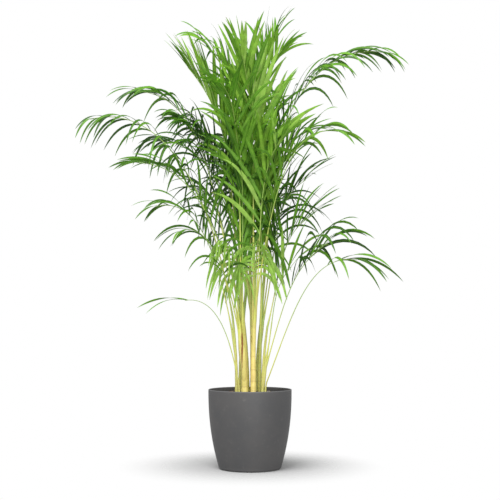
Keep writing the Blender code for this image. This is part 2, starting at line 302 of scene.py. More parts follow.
def use(tree, shared, **inputs):
    """Places a shared group in a material's tree."""
    node = tree.add("Group", {"node_tree": shared})
    for name, value in inputs.items():
        tree.feed(node.inputs[name], value)
    return node.outputs


# %% [markdown]
# ## The pot
# The pot is one piece of moulded plastic: a bowl with a thin wall, a rounded lip and a rounded foot. It
# could be made with the Screw modifier. Here the same idea is written out: a profile is carried round
# the axis, and its two ends on the axis close the solid. The side is a power curve, straight at the rim
# and turning in more and more towards the foot.

# %% Turn the pot
POT_HEIGHT = 0.235
RIM_RADIUS = 0.125
NARROWING = 0.033  # how much smaller the radius is at the foot
BELLY = 2.2  # how late the side turns in on its way down
WALL = 0.003
FLOOR = 0.004  # thickness of the pot's bottom
FOOT_ROUNDING = 0.008
ON_AXIS = 0.0005  # radius of the last ring before the axis
POT_SIDES = 128
OUTSIDE_RINGS, INSIDE_RINGS = 40, 30
FOOT_RINGS, LIP_RINGS = 9, 11
UNDERSIDE_RING = 0.6  # one more ring under the pot, as a share of the foot's radius


def pot_radius(height):
    """Outer radius: full at the rim, less a share that grows as a power of the depth below the rim."""
    return RIM_RADIUS - NARROWING * (1 - height / POT_HEIGHT) ** BELLY


def arc(centre_radius, centre_height, size, start, end, count):
    """Profile points on a circle, from one angle to another."""
    turn = np.linspace(start, end, count)
    return np.stack([centre_radius + size * np.cos(turn), centre_height + size * np.sin(turn)], axis=-1)


def turned(profile, sides):
    """Carries a profile of radius and height round the vertical axis, as one tube."""
    turn = np.arange(sides) / sides * tau
    radius = profile[:, 0, None]
    height = np.broadcast_to(profile[:, 1, None], (len(profile), sides))
    return np.stack([radius * np.cos(turn), radius * np.sin(turn), height], axis=-1)


lip = WALL / 2
shoulder = POT_HEIGHT - lip
foot = pot_radius(FOOT_ROUNDING) - FOOT_ROUNDING
outside = np.linspace(FOOT_ROUNDING, shoulder, OUTSIDE_RINGS)
inside = np.linspace(shoulder, FLOOR + FOOT_ROUNDING, INSIDE_RINGS)
pot_profile = np.concatenate([
    [[ON_AXIS, 0.0], [foot * UNDERSIDE_RING, 0.0]],
    arc(foot, FOOT_ROUNDING, FOOT_ROUNDING, -pi / 2, 0, FOOT_RINGS),
    np.stack([pot_radius(outside), outside], axis=-1)[1:],
    arc(pot_radius(shoulder) - lip, shoulder, lip, 0, pi, LIP_RINGS)[1:-1],
    np.stack([pot_radius(inside) - WALL, inside], axis=-1),
    [[foot, FLOOR], [ON_AXIS, FLOOR]],
])
pot = add_piece("pot_shell", *tubes(turned(pot_profile, POT_SIDES)[None]), "pot_plastic", ["pot"])

# %% [markdown]
# ## Matte plastic
# Anthracite plastic is nearly black in the dye but looks grey, because its fine moulded grain scatters
# light. The finish needs four things: grain as a bump, a rough surface that isn't even everywhere, light
# wear where hands and shelves touch it, along the lip and in patches at the foot, and a little dust.

# %% Finish the pot
PLASTIC = rgb(73, 73, 74)
PLASTIC_OTHER = rgb(78, 77, 77)
PLASTIC_WORN = rgb(112, 112, 114)
DUST_COLOR = rgb(170, 165, 158)
LIP_WEAR_DEPTH = 0.003  # how far down from the lip the wear reaches
FOOT_WEAR_HEIGHT = 0.007  # how far up from the floor the wear reaches
WEAR_SHARE = 0.55
DUST_SHARE = 0.12

plastic, tree, shader, _ = finish_material("anthracite_plastic")
place = tree.place()
clouds = use(tree, mottle, Place=place, Color=PLASTIC, Other=PLASTIC_OTHER, Scale=9.0)
grains = use(tree, grain, Place=place, Scale=1400.0, Roughness=0.52, Range=0.3)
height = tree.add("SeparateXYZ", Vector=place).outputs["Z"]
lip_wear = tree.span(height, POT_HEIGHT - LIP_WEAR_DEPTH, POT_HEIGHT)
foot_wear = tree.math("SUBTRACT", 1.0, tree.span(height, 0.0, FOOT_WEAR_HEIGHT))
patches = tree.span(tree.noise(tree.stretched(place, (60, 60, 25)), 1.0, 5.0, 0.7), 0.5, 0.7)
worn_places = tree.math("ADD", lip_wear, tree.times(foot_wear, patches))
wear = tree.times(worn_places, WEAR_SHARE, clamp=True)
dust = tree.times(tree.span(tree.noise(place, 45.0, 6.0, 0.75), 0.55, 0.8), DUST_SHARE)
worn = tree.blend(wear, clouds["Color"], PLASTIC_WORN)
tree.feed(shader.inputs["Base Color"], tree.blend(dust, worn, DUST_COLOR))
tree.feed(shader.inputs["Roughness"], grains["Roughness"])
tree.feed(shader.inputs["Normal"], tree.bump(grains["Height"], 0.0002, 0.5))
pot.data.materials.append(plastic)
print("material:", plastic.name)

# %% [markdown]
# ## The potting soil
# Potting soil is dark peat with bark in it. It fills the pot to two finger widths below the lip and is
# heaped a little around the canes. A wavy disc reads as soil only when loose bits lie on it, so the
# surface is a turned solid with a sum of waves for its lumps, and the bits are a second piece.

# %% Shape the soil
SOIL_CROWN = 0.226  # height of the level middle
CROWN_RADIUS = 0.068
SOIL_EDGE = 0.213  # height at the wall
GAP = 0.0003  # between pieces that touch
EDGE_DROP = 0.002  # how far under its edge the soil's side stops
SOIL_SIDES = 160
SIDE_RINGS, TOP_RINGS = 12, 60
LUMP_HEIGHT = 0.0011
LUMP_WAVES = 24
LUMP_FINENESS = (60, 420)  # radians of wave in a metre

chance = np.random.default_rng(7)
wave_turn = chance.uniform(0, tau, LUMP_WAVES)
wave_speed = chance.uniform(*LUMP_FINENESS, LUMP_WAVES)
wave_shift = chance.uniform(0, tau, LUMP_WAVES)


def soil_height(x, y):
    """Height of the soil: level to the crown's edge, then falling evenly to the wall, plus a sum of
    sine waves of random direction and length for the lumps."""
    radius = np.hypot(x, y)
    edge_radius = pot_radius(SOIL_EDGE) - WALL
    fall = np.clip((radius - CROWN_RADIUS) / (edge_radius - CROWN_RADIUS), 0, 1)
    along = x[..., None] * np.cos(wave_turn) + y[..., None] * np.sin(wave_turn)
    lumps = np.sin(along * wave_speed + wave_shift).sum(axis=-1) / np.sqrt(LUMP_WAVES)
    return SOIL_CROWN + (SOIL_EDGE - SOIL_CROWN) * fall + LUMP_HEIGHT * lumps


soil_side = np.linspace(FLOOR + FOOT_ROUNDING, SOIL_EDGE - EDGE_DROP, SIDE_RINGS)
top_radius = np.linspace(pot_radius(SOIL_EDGE) - WALL - GAP, ON_AXIS, TOP_RINGS)
soil_profile = np.concatenate([
    [[ON_AXIS, FLOOR + GAP], [foot - GAP, FLOOR + GAP]],
    np.stack([pot_radius(soil_side) - WALL - GAP, soil_side], axis=-1),
    np.stack([top_radius, np.full(TOP_RINGS, SOIL_EDGE)], axis=-1),
])
soil_points = turned(soil_profile, SOIL_SIDES)
soil_top = soil_points[-TOP_RINGS:]
soil_top[:, :, 2] = soil_height(soil_top[:, :, 0], soil_top[:, :, 1])
soil = add_piece("soil_body", *tubes(soil_points[None]), "potting_soil", ["soil"])
print("soil:", len(soil.data.polygons), "faces")

# %% Scatter bark, peat and perlite
CRUMBS = 900
CRUMB_SIDES = 5
CRUMB_LEVELS = np.array([-0.75, 0.1, 0.8])  # heights of a crumb's rings
CRUMB_GIRTHS = np.array([0.6, 1.0, 0.5])  # and their radii
CRUMB_RINGS = len(CRUMB_LEVELS)
CRUMB_REACH = 0.117  # farthest crumb from the pot's middle
SMALLEST_CRUMB, LARGEST_GAIN = 0.0011, 0.0024  # half-sizes
LEAST_STRETCH, MOST_STRETCH = (0.8, 0.5, 0.35), (1.9, 1.0, 0.7)
CORNER_NOISE = (0.7, 1.15)
CRUMB_LIFT = 0.25  # of its half-size: how high a crumb's middle is over the soil


def crumbs(count):
    """Lumpy little tubes of three rings: a squashed ball with random stretch, turn and corner noise,
    set at random places on the soil. Cubing the random size makes most crumbs small."""
    radius = CRUMB_REACH * np.sqrt(chance.uniform(0, 1, count))
    turn = chance.uniform(0, tau, count)
    x, y = radius * np.cos(turn), radius * np.sin(turn)
    size = SMALLEST_CRUMB + LARGEST_GAIN * chance.uniform(0, 1, count) ** 3
    stretch = chance.uniform(LEAST_STRETCH, MOST_STRETCH, (count, 3))
    ring = np.arange(CRUMB_SIDES) / CRUMB_SIDES * tau
    girth = CRUMB_GIRTHS[:, None]
    level = np.broadcast_to(CRUMB_LEVELS[:, None], (CRUMB_RINGS, CRUMB_SIDES))
    ball = np.stack([girth * np.cos(ring), girth * np.sin(ring), level], axis=-1)
    ball = ball * chance.uniform(*CORNER_NOISE, (count, CRUMB_RINGS, CRUMB_SIDES, 1))
    ball = ball * (stretch * size[:, None])[:, None, None, :]
    spin = chance.uniform(0, tau, count)[:, None, None]
    turned_x = ball[..., 0] * np.cos(spin) - ball[..., 1] * np.sin(spin)
    turned_y = ball[..., 0] * np.sin(spin) + ball[..., 1] * np.cos(spin)
    centre = np.stack([x, y, soil_height(x, y) + size * CRUMB_LIFT], axis=-1)
    return np.stack([turned_x, turned_y, ball[..., 2]], axis=-1) + centre[:, None, None, :]


crumb_points = crumbs(CRUMBS)
crumb_kind = np.repeat(chance.uniform(0, 1, CRUMBS)[:, None], CRUMB_RINGS, axis=1)
bits = add_piece(
    "soil_bits", *tubes(crumb_points), "potting_soil", ["soil"],
    marks={"kind": on_tubes(crumb_kind, CRUMB_SIDES)},
)
print("bits:", CRUMBS)

# %% Finish the soil
SOIL_DARK = rgb(38, 27, 20)
SOIL_LIGHT = rgb(74, 54, 38)
BARK = rgb(112, 78, 50)
STRAW = rgb(150, 122, 84)
PERLITE = rgb(205, 200, 188)

earth, tree, shader, _ = finish_material("potting_soil")
place = tree.place()
clouds = use(tree, mottle, Place=place, Color=SOIL_DARK, Other=SOIL_LIGHT, Scale=160.0)
grains = use(tree, grain, Place=place, Scale=900.0, Roughness=0.93, Range=0.1)
kind = tree.mark("kind")  # 0 on the soil itself; a crumb's kind goes from peat to bark, straw and perlite
bark = tree.blend(tree.span(kind, 0.45, 0.55), clouds["Color"], BARK)
straw = tree.blend(tree.span(kind, 0.84, 0.86), bark, STRAW)
white = tree.blend(tree.span(kind, 0.965, 0.97), straw, PERLITE)
tree.feed(shader.inputs["Base Color"], white)
tree.feed(shader.inputs["Roughness"], grains["Roughness"])
tree.feed(shader.inputs["Normal"], tree.bump(grains["Height"], 0.0012, 0.9))
soil.data.materials.append(earth)
bits.data.materials.append(earth)
print("material:", earth.name)

# %% [markdown]
# ## Where the canes and fronds are
# The measured model gives each cane and each leaf stalk a node. Their curves are repeated here from the
# same few values, so that the fine surfaces follow them exactly. A frond starts below the top of its
# cane and ends some reach away at the height of its tip. It leaves at one angle from the vertical, its
# lean, and ends at another, its droop, and a Bezier curve joins the two. The first share of it is bare,
# and leaf is the length of its longest leaflet. Spread is the angle in degrees between the stalk and the
# first leaflets, and hang is how strongly leaflets fall. The last two values are this lesson's own.
# Spacing is the distance between pairs of leaflets. The last column sets a frond's green, partly by its age
# and
# partly as painted light and shade: 0 for an old frond or a dark one in the shaded middle, 1 for a young
# one, and more than 1 for the palest, painted light on the low fronds at the front.

# %% Canes and fronds
Cane = namedtuple("Cane", "name x y top_x top_y top radius ripeness")
CANES = [
    Cane("cane_01", -0.016, -0.018, -0.026, -0.024, 0.50, 0.0100, 0.75),
    Cane("cane_02", 0.010, -0.024, 0.012, -0.032, 0.56, 0.0080, 1.00),
    Cane("cane_03", -0.040, -0.010, -0.052, -0.014, 0.45, 0.0050, 0.35),
    Cane("cane_04", 0.038, -0.012, 0.052, -0.016, 0.42, 0.0050, 0.30),
    Cane("cane_05", 0.029, 0.012, 0.038, 0.018, 0.54, 0.0060, 0.15),
    Cane("cane_06", 0.008, 0.010, 0.000, 0.014, 0.60, 0.0075, 0.80),
    Cane("cane_07", -0.008, 0.018, -0.036, 0.032, 0.55, 0.0070, 0.35),
    Cane("cane_08", -0.030, 0.038, -0.012, 0.062, 0.52, 0.0060, 0.25),
    Cane("cane_09", 0.020, 0.040, 0.036, 0.064, 0.46, 0.0055, 0.20),
    Cane("shoot_left", -0.032, -0.034, -0.034, -0.035, 0.255, 0.0030, 0.30),
    Cane("shoot_right", 0.046, -0.034, 0.049, -0.036, 0.255, 0.0030, 0.30),
]
CANE_TAPER = 0.6  # top radius over bottom radius

Frond = namedtuple(
    "Frond", "name cane below heading reach tip lean droop bare leaf spread hang spacing tone",
)
ROWS = [
    ("left_01", "cane_03", 0.00, 188, 0.43, 1.04, 9, 106, 0.34, 0.20, 46, 2.2, 0.036, 0.25),
    ("left_02", "cane_07", 0.05, 165, 0.35, 1.17, 6, 84, 0.32, 0.24, 38, 1.3, 0.030, 0.25),
    ("left_03", "cane_01", 0.08, 200, 0.33, 0.90, 8, 92, 0.34, 0.21, 38, 0.9, 0.032, 0.45),
    ("left_04", "cane_03", 0.04, 168, 0.25, 0.79, 6, 104, 0.40, 0.18, 42, 1.1, 0.032, 0.30),
    ("left_05", "cane_01", 0.14, 222, 0.25, 0.69, 9, 118, 0.45, 0.17, 44, 1.3, 0.032, 0.45),
    ("left_06", "shoot_left", 0.00, 185, 0.16, 0.50, 10, 100, 0.95, 0.17, 34, 0.9, 0.020, 0.65),
    ("left_07", "cane_08", 0.12, 186, 0.19, 1.055, 3, 54, 0.32, 0.26, 44, 1.2, 0.011, 0.05),
    ("right_01", "cane_06", 0.14, 8, 0.43, 1.28, 1, 98, 0.40, 0.21, 36, 1.3, 0.024, 0.30),
    ("right_02", "cane_02", 0.05, 335, 0.27, 0.99, 10, 104, 0.45, 0.22, 40, 1.3, 0.040, 0.60),
    ("right_03", "cane_05", 0.10, 28, 0.16, 0.88, 12, 60, 0.36, 0.24, 30, 0.6, 0.026, 0.20),
    ("right_04", "cane_04", 0.12, 342, 0.20, 0.67, 14, 58, 0.56, 0.27, 40, 1.3, 0.026, 0.30),
    ("right_05", "shoot_right", 0.00, 338, 0.28, 0.615, 22, 100, 0.80, 0.20, 34, 1.6, 0.030, 0.45),
    ("right_06", "cane_04", 0.00, 10, 0.14, 0.76, 14, 60, 0.36, 0.22, 30, 0.5, 0.026, 0.40),
    ("right_07", "cane_05", 0.00, 350, 0.11, 0.97, 8, 46, 0.36, 0.24, 28, 0.4, 0.034, 0.80),
    ("right_08", "cane_04", 0.10, 335, 0.09, 0.60, 8, 45, 0.84, 0.23, 36, 0.6, 0.020, 1.20),
    ("top_01", "cane_06", 0.00, 20, 0.090, 1.325, 1, 28, 0.42, 0.24, 46, 0.6, 0.020, 0.50),
    ("top_02", "cane_06", 0.06, 160, 0.15, 1.30, 2, 44, 0.42, 0.25, 44, 0.9, 0.020, 0.65),
    ("top_03", "cane_07", 0.00, 172, 0.16, 1.23, 4, 40, 0.42, 0.27, 24, 0.4, 0.018, 0.95),
    ("top_04", "cane_02", 0.00, 250, 0.10, 1.22, 3, 36, 0.40, 0.28, 22, 0.4, 0.022, 0.85),
    ("top_05", "cane_06", 0.10, 315, 0.13, 1.25, 3, 50, 0.42, 0.22, 40, 0.6, 0.022, 0.75),
    ("front_01", "cane_01", 0.11, 222, 0.10, 0.675, 8, 98, 0.52, 0.16, 60, 6.0, 0.014, 1.40),
    ("front_02", "cane_02", 0.14, 284, 0.06, 0.675, 12, 104, 0.52, 0.17, 60, 6.0, 0.014, 1.35),
    ("front_03", "cane_01", 0.00, 252, 0.19, 1.12, 5, 84, 0.42, 0.22, 36, 1.0, 0.034, 0.60),
    ("front_04", "cane_02", 0.09, 305, 0.16, 0.98, 8, 62, 0.40, 0.23, 30, 0.6, 0.034, 0.90),
    ("front_05", "cane_01", 0.17, 262, 0.09, 0.94, 3, 38, 0.36, 0.27, 22, 0.3, 0.030, 0.45),
    ("front_06", "cane_05", 0.16, 268, 0.08, 0.98, 3, 34, 0.36, 0.25, 20, 0.4, 0.030, 0.80),
    ("back_01", "cane_08", 0.05, 98, 0.34, 0.96, 10, 102, 0.42, 0.22, 40, 1.3, 0.026, 0.20),
    ("back_02", "cane_08", 0.00, 160, 0.29, 1.02, 6, 80, 0.34, 0.24, 42, 1.3, 0.026, 0.10),
    ("back_03", "cane_09", 0.04, 72, 0.31, 0.86, 12, 102, 0.42, 0.22, 42, 1.4, 0.026, 0.20),
    ("back_04", "cane_09", 0.00, 48, 0.23, 1.06, 8, 70, 0.45, 0.22, 33, 0.8, 0.030, 0.30),
    ("back_05", "cane_07", 0.10, 120, 0.31, 0.86, 12, 102, 0.42, 0.22, 39, 1.2, 0.026, 0.15),
    ("back_06", "cane_08", 0.10, 82, 0.20, 0.70, 14, 120, 0.42, 0.19, 50, 2.0, 0.026, 0.40),
    ("back_07", "cane_05", 0.01, 78, 0.18, 1.18, 5, 50, 0.45, 0.23, 32, 0.6, 0.028, 0.60),
]
FRONDS = [Frond("frond_" + place, *values) for place, *values in ROWS]
print("canes:", len(CANES), "fronds:", len(FRONDS))

# %% Follow a cane


def unit(vectors):
    """Each vector at length one."""
    return vectors / np.linalg.norm(vectors, axis=-1, keepdims=True)


def cane_rise(cane, heights):
    """How far up a cane each height is: 0 at the soil, 1 at the cane's top."""
    return (np.asarray(heights, float) - SOIL_CROWN) / (cane.top - SOIL_CROWN)


def cane_axis(cane, heights):
    """Centres of a cane: straight up at first, with a lean that grows as the square of the rise."""
    lean = cane_rise(cane, heights) ** 2
    x = cane.x + (cane.top_x - cane.x) * lean
    y = cane.y + (cane.top_y - cane.y) * lean
    return np.stack([x, y, np.asarray(heights, float)], axis=-1)


def cane_radius(cane, heights):
    """Radius of a cane, which falls evenly from the soil to the top."""
    return cane.radius * (1 + (CANE_TAPER - 1) * cane_rise(cane, heights))


print("cane_01 is", round(2000 * float(cane_radius(CANES[0], SOIL_CROWN)), 1), "mm thick at the soil")

# %% Follow a stalk
START_HANDLE = 0.50  # of the way from base to tip: how long a stalk keeps its first direction
END_HANDLE = 0.32
STALK_GIRTH = 0.004  # base radius of a stalk one metre long
STALK_END = 0.0010
CURVE_POINTS = 201
CANE_STEP = 0.01  # how far down a cane is read to find its direction
NUDGE = 0.004  # how far each way a stalk is read to find its direction


class Stalk:
    """The curve of one frond: a cubic Bezier, read by the distance along it."""

    def __init__(self, frond, cane):
        self.frond, self.cane = frond, cane
        turn = radians(frond.heading)
        self.ahead = np.array([np.cos(turn), np.sin(turn), 0.0])
        self.side = np.array([-np.sin(turn), np.cos(turn), 0.0])
        self.height = cane.top - frond.below
        centre = cane_axis(cane, self.height)
        end = centre + self.ahead * frond.reach
        end[2] = frond.tip
        self.girth = max(STALK_GIRTH * np.linalg.norm(end - centre), 2 * STALK_END)
        lean, droop = radians(frond.lean), radians(frond.droop)
        if frond.below == 0:
            direction = UP
            start = centre + UP * (GAP + self.girth * np.sin(lean))
        else:
            direction = unit(centre - cane_axis(cane, max(self.height - CANE_STEP, SOIL_CROWN)))
            start = centre + self.ahead * (cane_radius(cane, self.height) + self.girth + 2 * GAP)
        leave = unit(direction * np.cos(lean) + self.ahead * np.sin(lean))
        arrive = self.ahead * np.sin(droop) + UP * np.cos(droop)
        span = np.linalg.norm(end - start)
        u = np.linspace(0, 1, CURVE_POINTS)[:, None]
        self.points = (
            (1 - u) ** 3 * start
            + 3 * u * (1 - u) ** 2 * (start + leave * span * START_HANDLE)
            + 3 * u ** 2 * (1 - u) * (end - arrive * span * END_HANDLE)
            + u ** 3 * end
        )
        steps = np.linalg.norm(np.diff(self.points, axis=0), axis=1)
        self.distances = np.concatenate([[0.0], np.cumsum(steps)])
        self.length = self.distances[-1]
        self.bare = frond.bare * self.length

    def centres(self, distances):
        """Points on the curve."""
        return np.stack([np.interp(distances, self.distances, self.points[:, k]) for k in range(3)], axis=-1)

    def frames(self, distances):
        """Direction, side and upper side at each distance. The upper side faces the palm's middle."""
        after = np.minimum(distances + NUDGE, self.length)
        before = np.maximum(distances - NUDGE, 0.0)
        along = unit(self.centres(after) - self.centres(before))
        upper = unit(np.cross(along, self.side))
        return along, np.cross(upper, along), upper

    def radii(self, distances):
        """The stalk's radius, which falls evenly from its girth to its end."""
        return self.girth + (STALK_END - self.girth) * np.clip(distances / self.length, 0, 1)


def overshoot(stalk):
    """How far a stalk's curve leaves the box of its node in the measured model."""
    low, high = (np.array(corner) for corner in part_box(stalk.frond.name))
    return max((low - stalk.points.min(axis=0)).max(), (stalk.points.max(axis=0) - high).max())


cane_named = {cane.name: cane for cane in CANES}
stalks = [Stalk(frond, cane_named[frond.cane]) for frond in FRONDS]
farthest = max(overshoot(stalk) for stalk in stalks)
print("the stalks leave their measured boxes by at most", round(farthest * 1000, 2), "mm")

# %% [markdown]
# ## The canes
# A palm cane is ringed: each ring is the scar of a leaf that has dropped off. Between rings it is smooth,
# waxy and slightly thicker in the middle. The rings could be a bump, but at this size they show on the
# outline, so they are real ridges, worked into the radius along the cane.

# %% Shape the canes
CANE_SIDES = 20
CANE_ROWS = 150
RING_SPACING = 0.045
FOOT_SPACING = 0.55  # the lowest rings' spacing, as a share of the full one
CLOSE_RINGS = 0.12  # how far over the soil the spacing becomes full
RING_SHIFT = 0.37  # from one cane to the next, in spacings
RING_WIDTH = 0.0013
RING_HEIGHT = 0.0003
BULGE = 0.035  # how much thicker a cane is between rings, as a share of its radius
FOOT_SWELL = 0.14
SWELL_HEIGHT = 0.012
CANE_SINK = 0.006  # how deep a cane's foot stands in the soil


def ring_marks(heights, first):
    """One near a leaf scar and none between: a bell curve around evenly spaced heights, whose
    spacing shrinks towards the foot."""
    rise = np.clip((heights - SOIL_CROWN) / CLOSE_RINGS, 0, 1)
    step = RING_SPACING * (FOOT_SPACING + (1 - FOOT_SPACING) * rise)
    phase = np.cumsum(np.gradient(heights) / step) + first
    away = np.abs(phase - np.round(phase)) * step
    return np.exp(-((away / RING_WIDTH) ** 2)), phase


def cane_rings(cane, number):
    """Rings of points up a cane. The radius tapers, bulges between scars and swells at the foot."""
    base = soil_height(np.array(cane.x), np.array(cane.y)) - CANE_SINK
    heights = np.linspace(base, cane.top, CANE_ROWS)
    marks, phase = ring_marks(heights, number * RING_SHIFT)
    bulge = 1 + BULGE * np.cos(phase * tau + pi)
    swell = 1 + FOOT_SWELL * np.exp(-(heights - base) / SWELL_HEIGHT)
    radius = cane_radius(cane, np.maximum(heights, SOIL_CROWN)) * bulge * swell + RING_HEIGHT * marks
    turn = np.arange(CANE_SIDES) / CANE_SIDES * tau
    circle = np.stack([np.cos(turn), np.sin(turn), np.zeros(CANE_SIDES)], axis=-1)
    points = cane_axis(cane, np.maximum(heights, SOIL_CROWN))
    points[:, 2] = heights
    return points[:, None, :] + radius[:, None, None] * circle[None], marks


def skin_piece(node, ending, rings, scars, ripeness, along):
    """The tube of a cane or a stalk, with the marks that their finish reads. Scars and the share of
    the way along a stalk have one value for each ring."""
    marks = {"scar": scars, "ripe": np.full(len(rings), ripeness), "along": along}
    spread_marks = {name: on_tubes(values[None], rings.shape[1]) for name, values in marks.items()}
    return add_piece(node + ending, *tubes(rings[None]), "cane_skin", [node], marks=spread_marks)


cane_pieces = []
for number, cane in enumerate(CANES):
    rings, scars = cane_rings(cane, number)
    cane_pieces.append(skin_piece(cane.name, "_skin", rings, scars, cane.ripeness, np.zeros(CANE_ROWS)))
print("canes:", len(cane_pieces), "with", CANE_ROWS, "rings of points each")

# %% [markdown]
# ## The stalks
# A frond's stalk isn't round. It is flat to grooved on its upper side, and its base widens into a sheath
# that wraps the cane. A profile is carried along the curve: a circle whose upper half is pressed in.
# Below the place where the stalk parts from the cane, the profile's middle slides into the cane, so the
# sheath grows out of the cane's skin with no seam.

# %% Shape a stalk
STALK_SIDES = 12
STALK_ROWS = 90
SHEATH = 0.075  # how far a stalk's base runs down inside its cane
SHEATH_ROWS = 24
SHEATH_SLIDE = 1.5  # power of the depth with which it slides into the cane
ABOVE_SOIL = 0.002  # the least height of a sheath over the soil
TOP_WRAP, SIDE_WRAP = 1.04, 0.93  # a sheath's radius over its cane's, at the cane's top and on its side
FLARE = 0.035  # distance over which the wide base narrows
FLARE_END = 0.12
GROOVE = 0.45
GROOVE_START = 0.05  # distance over which the groove deepens


def stalk_rings(stalk):
    """Rings of points along a stalk, sheath first. A ring is a circle whose upper part is pulled down
    by the groove's share of the squared sine, and the sheath's centre slides into the cane's axis."""
    cane = stalk.cane
    down = np.linspace(-SHEATH, 0, SHEATH_ROWS, endpoint=False)
    depth = -down / SHEATH
    low = np.maximum(stalk.height + down, SOIL_CROWN + ABOVE_SOIL)
    offset = (stalk.points[0] - cane_axis(cane, stalk.height)) * [1, 1, 0]
    sheath = cane_axis(cane, low) + offset * (1 - depth ** SHEATH_SLIDE)[:, None]
    distances = np.linspace(0, stalk.length, STALK_ROWS)
    centres = np.concatenate([sheath, stalk.centres(distances)])
    along = unit(np.gradient(centres, axis=0))
    upper = unit(np.cross(along, stalk.side))
    side = np.cross(upper, along)
    wrap = cane_radius(cane, low) * (TOP_WRAP if stalk.frond.below == 0 else SIDE_WRAP)
    flare = stalk.girth + (wrap[-1] - stalk.girth) * np.exp(-((distances / FLARE) ** 2))
    free = np.maximum(stalk.radii(distances), flare * (distances < FLARE_END))
    own = free[0] + (wrap - free[0]) * np.sqrt(depth)
    radius = np.concatenate([own, free])
    turn = np.arange(STALK_SIDES) / STALK_SIDES * tau
    rise = np.maximum(np.sin(turn), 0)
    share = np.concatenate([np.zeros(SHEATH_ROWS), np.clip(distances / GROOVE_START, 0, 1)])
    flatten = 1 - GROOVE * share[:, None] * rise[None, :] ** 2
    across = np.cos(turn)[None, :, None] * side[:, None, :]
    above = (np.sin(turn)[None, :] * flatten)[:, :, None] * upper[:, None, :]
    along_share = np.concatenate([np.zeros(SHEATH_ROWS), distances / stalk.length])
    return centres[:, None, :] + radius[:, None, None] * (across + above), along_share


stalk_pieces = []
for stalk in stalks:
    rings, along = stalk_rings(stalk)
    scars = np.zeros(len(rings))
    stalk_pieces.append(skin_piece(stalk.frond.name, "_stalk", rings, scars, stalk.cane.ripeness, along))
print("stalks:", len(stalk_pieces))

# %% [markdown]
# ## Palm skin
# Canes and stalks share one finish. A ripe cane is golden near the soil and greener as it climbs, and a
# stalk fades from yellow green to leaf green. Thin streaks run lengthwise, scars are brown, and the
# oldest cane keeps rusty papery patches of its last sheath.

# %% Finish canes and stalks
CANE_GOLD = rgb(234, 214, 126)
CANE_GREEN = rgb(154, 180, 90)
CANE_STRAW = rgb(190, 160, 84)
STALK_YELLOW = rgb(198, 202, 98)
STALK_GREEN = rgb(136, 168, 74)
SCAR_BROWN = rgb(176, 150, 92)
RUST = rgb(124, 62, 26)
GREENING = (0.26, 0.56)  # heights between which a cane turns greener
CLIMB_GREEN, UNRIPE_GREEN = 0.55, 0.75  # what height and want of ripeness add to the green
STREAK_SHARE = 0.45
SCAR_SHARE = 0.5
FLECKS_THIN = (0.40, 0.50)  # heights between which the rusty flecks end
RUST_SHARE = 0.95
PATCH_CENTRE = (-0.0230, -0.030, 0.362)  # on the front of the thickest cane
PATCH_SCALE = (190.0, 60.0, 12.0)

skin, tree, shader, _ = finish_material("palm_skin")
place = tree.place()
height = tree.add("SeparateXYZ", Vector=place).outputs["Z"]
lengthwise = tree.stretched(place, (1.0, 1.0, 0.04))
streaks = tree.span(tree.noise(lengthwise, 520.0, 3.0, 0.6), 0.35, 0.7)
climb = tree.times(tree.span(height, *GREENING), CLIMB_GREEN)
unripe = tree.times(tree.math("SUBTRACT", 1.0, tree.mark("ripe")), UNRIPE_GREEN)
greenness = tree.math("ADD", climb, unripe, clamp=True)
cane_color = tree.blend(greenness, CANE_GOLD, CANE_GREEN)
streaked = tree.blend(tree.times(streaks, STREAK_SHARE), cane_color, CANE_STRAW)
longer = tree.stretched(place, (1.0, 1.0, 0.25))
clouds = use(tree, mottle, Place=longer, Color=streaked, Other=cane_color, Scale=70.0)
along = tree.mark("along")
stalk_color = tree.blend(tree.span(along, 0.12, 0.6), STALK_YELLOW, STALK_GREEN)
skin_color = tree.blend(tree.span(along, 0.0, 0.12), clouds["Color"], stalk_color)
scarred = tree.blend(tree.times(tree.mark("scar"), SCAR_SHARE), skin_color, SCAR_BROWN)
flecks = tree.span(tree.noise(tree.stretched(place, (1.0, 1.0, 0.3)), 60.0, 4.0, 0.65), 0.64, 0.72)
low_down = tree.math("SUBTRACT", 1.0, tree.span(height, *FLECKS_THIN))
from_patch = tree.add("VectorMath", {"operation": "LENGTH"})
tree.feed(from_patch.inputs[0], tree.stretched(tree.moved(place, PATCH_CENTRE), PATCH_SCALE))
ragged = tree.times(tree.noise(tree.stretched(place, (1.0, 1.0, 0.1)), 420.0, 4.0, 0.7), 1.1)
patch = tree.span(tree.math("ADD", from_patch.outputs["Value"], ragged), 1.0, 1.5, 1.0, 0.0)
rusty = tree.math("MAXIMUM", tree.times(flecks, low_down), patch)
rust = tree.times(rusty, RUST_SHARE)
tree.feed(shader.inputs["Base Color"], tree.blend(rust, scarred, RUST))
grains = use(tree, grain, Place=place, Scale=1100.0, Roughness=0.40, Range=0.25)
tree.feed(shader.inputs["Roughness"], grains["Roughness"])
tree.feed(shader.inputs["Normal"], tree.bump(streaks, 0.0003, 0.5))
for piece in cane_pieces + stalk_pieces:
    piece.data.materials.append(skin)
print("material:", skin.name)

# %% [markdown]
# ## The leaflets
# Each leaflet is a long thin blade folded along its middle, narrow where it joins the stalk, widest at
# about two fifths of its length and drawn out to a fine tip that hangs. A flat card with a picture would
# be quick, but shows no fold and no thickness. Here a blade is a closed ribbon with four corners to a
# ring: left edge, ridge, right edge and underside. All of a frond's blades are worked out at once.

